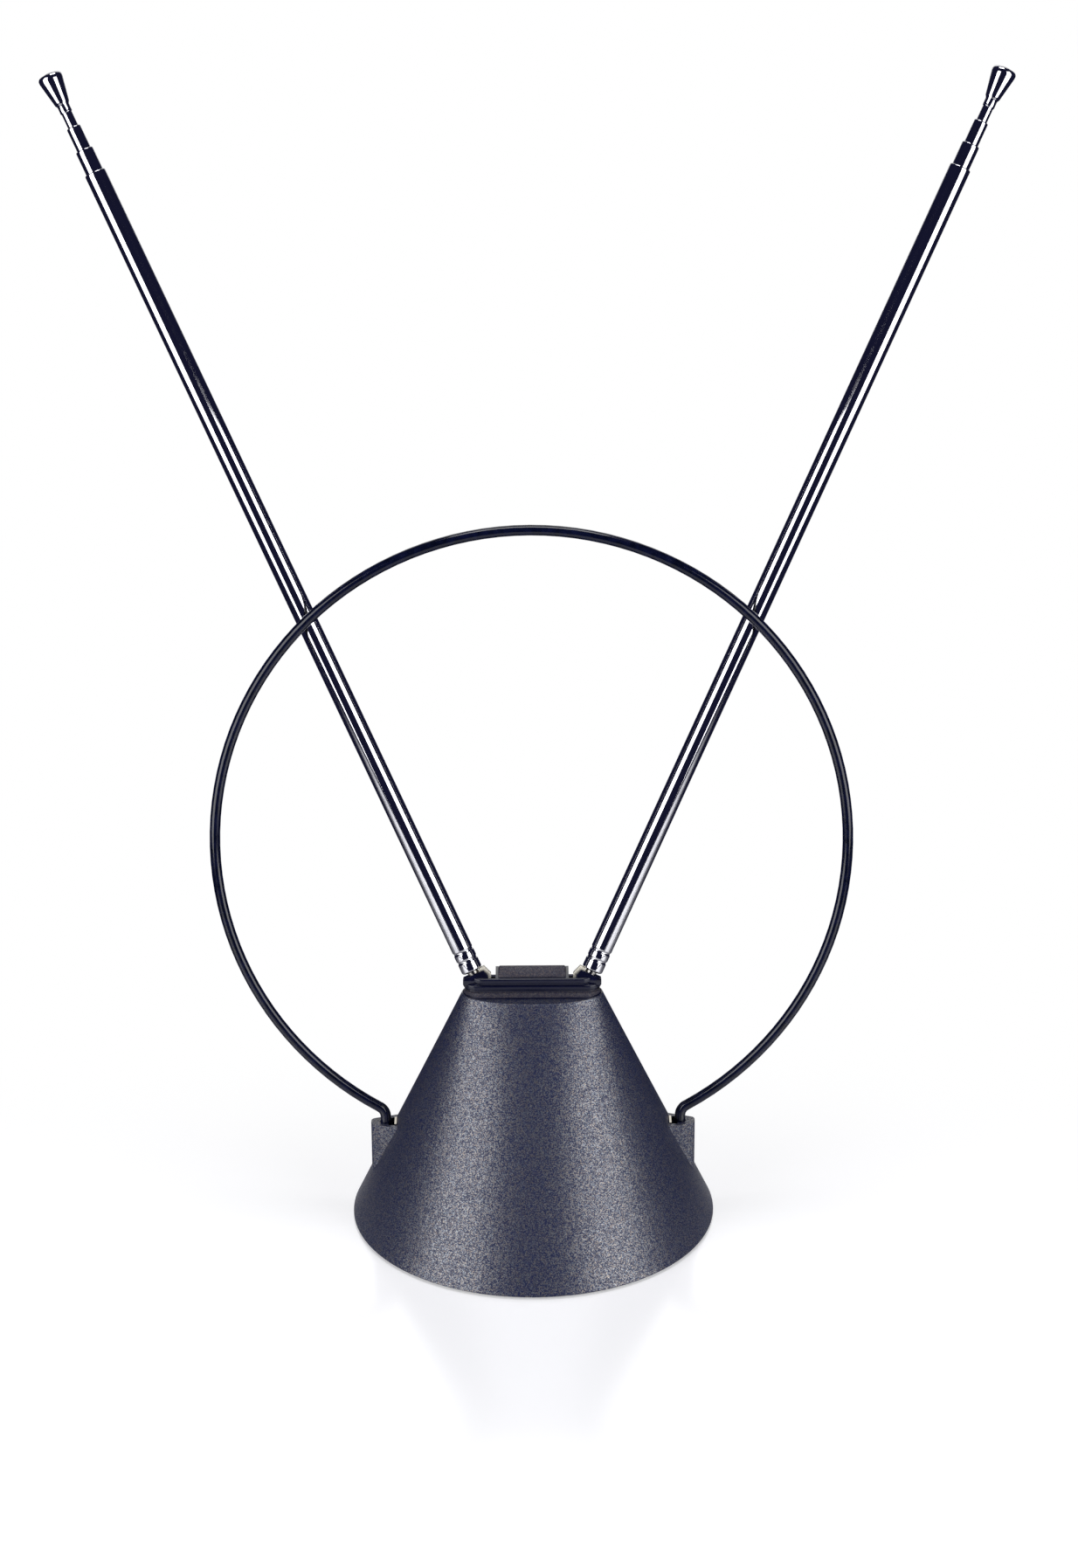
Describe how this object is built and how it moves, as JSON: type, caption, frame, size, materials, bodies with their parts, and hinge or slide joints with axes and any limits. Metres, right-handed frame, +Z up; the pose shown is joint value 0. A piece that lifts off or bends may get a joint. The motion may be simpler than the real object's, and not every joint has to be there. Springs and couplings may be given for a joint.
{
  "type": "indoor television antenna",
  "caption": "Indoor television antenna: two telescopic rods on a ribbed hinge head and a wire loop in side sockets, on a tapering round base.",
  "frame": {"origin": "middle of the round footprint, on the surface that the antenna stands on", "axes": "+Z up, -Y towards the front, +X to the right seen from the front"},
  "size_m": [0.2714, 0.1374, 0.3149],
  "materials": {
    "housing_shell": "moulded plastic under a satin charcoal paint with fine metallic flake",
    "black_plastic": "blue-black moulded plastic, lightly polished",
    "grey_plastic": "brownish-grey plastic, matt",
    "knuckle_plastic": "glossy blue-black plastic",
    "ballast_iron": "raw cast iron",
    "steel": "zinc-plated steel",
    "pin_steel": "dark plated steel",
    "clip_steel": "bright nickel-plated spring steel",
    "strip_chrome": "bright chrome-plated strip",
    "brass": "nickel-plated turned brass",
    "chrome": "bright chrome on brass tube",
    "loop_coating": "steel wire with a glossy blue-black coating",
    "rubber": "black rubber",
    "circuit_board": "green laminate",
    "ferrite": "fired ferrite"
  },
  "bodies": {
    "base": {"housing": "housing_shell", "hinge_head": "black_plastic", "hinge_cap": "grey_plastic", "base_plate": "black_plastic", "ballast_ring": "ballast_iron", "plate_screws": "steel", "foot_1": "rubber", "foot_2": "rubber", "foot_3": "rubber", "foot_4": "rubber", "centre_foot": "rubber", "balun_board": "circuit_board", "balun_core": "ferrite", "cable_grommet": "rubber", "loop_wire": "loop_coating", "left_loop_clip": "clip_steel", "right_loop_clip": "clip_steel", "left_hinge_pin": "pin_steel", "right_hinge_pin": "pin_steel"},
    "left_rod": {"left_knuckle": "knuckle_plastic", "left_contact_strip": "strip_chrome", "left_end_plug": "brass", "left_tube_1": "chrome"},
    "left_stage_2": {"left_tube_2": "chrome"},
    "left_stage_3": {"left_tube_3": "chrome"},
    "left_stage_4": {"left_tube_4": "chrome", "left_tip_knob": "chrome"},
    "right_rod": {"right_knuckle": "knuckle_plastic", "right_contact_strip": "strip_chrome", "right_end_plug": "brass", "right_tube_1": "chrome"},
    "right_stage_2": {"right_tube_2": "chrome"},
    "right_stage_3": {"right_tube_3": "chrome"},
    "right_stage_4": {"right_tube_4": "chrome", "right_tip_knob": "chrome"}
  },
  "joints": [
    {"name": "left_tilt", "type": "hinge", "parent": "base", "child": "left_rod", "pos_m": [-0.014, 0, 0.0742], "axis": [-1, 0, 0], "range_deg": [-1, 55]},
    {"name": "right_tilt", "type": "hinge", "parent": "base", "child": "right_rod", "pos_m": [0.014, 0, 0.0742], "axis": [-1, 0, 0], "range_deg": [-1, 55]},
    {"name": "left_slide_2", "type": "slide", "parent": "left_rod", "child": "left_stage_2", "axis": [-0.4195, 0.2955, 0.8583], "range_m": [0, 0.225]},
    {"name": "left_slide_3", "type": "slide", "parent": "left_stage_2", "child": "left_stage_3", "axis": [-0.4195, 0.2955, 0.8583], "range_m": [0, 0.225]},
    {"name": "left_slide_4", "type": "slide", "parent": "left_stage_3", "child": "left_stage_4", "axis": [-0.4195, 0.2955, 0.8583], "range_m": [0, 0.225]},
    {"name": "right_slide_2", "type": "slide", "parent": "right_rod", "child": "right_stage_2", "axis": [0.4195, 0.2955, 0.8583], "range_m": [0, 0.225]},
    {"name": "right_slide_3", "type": "slide", "parent": "right_stage_2", "child": "right_stage_3", "axis": [0.4195, 0.2955, 0.8583], "range_m": [0, 0.225]},
    {"name": "right_slide_4", "type": "slide", "parent": "right_stage_3", "child": "right_stage_4", "axis": [0.4195, 0.2955, 0.8583], "range_m": [0, 0.225]}
  ]
}
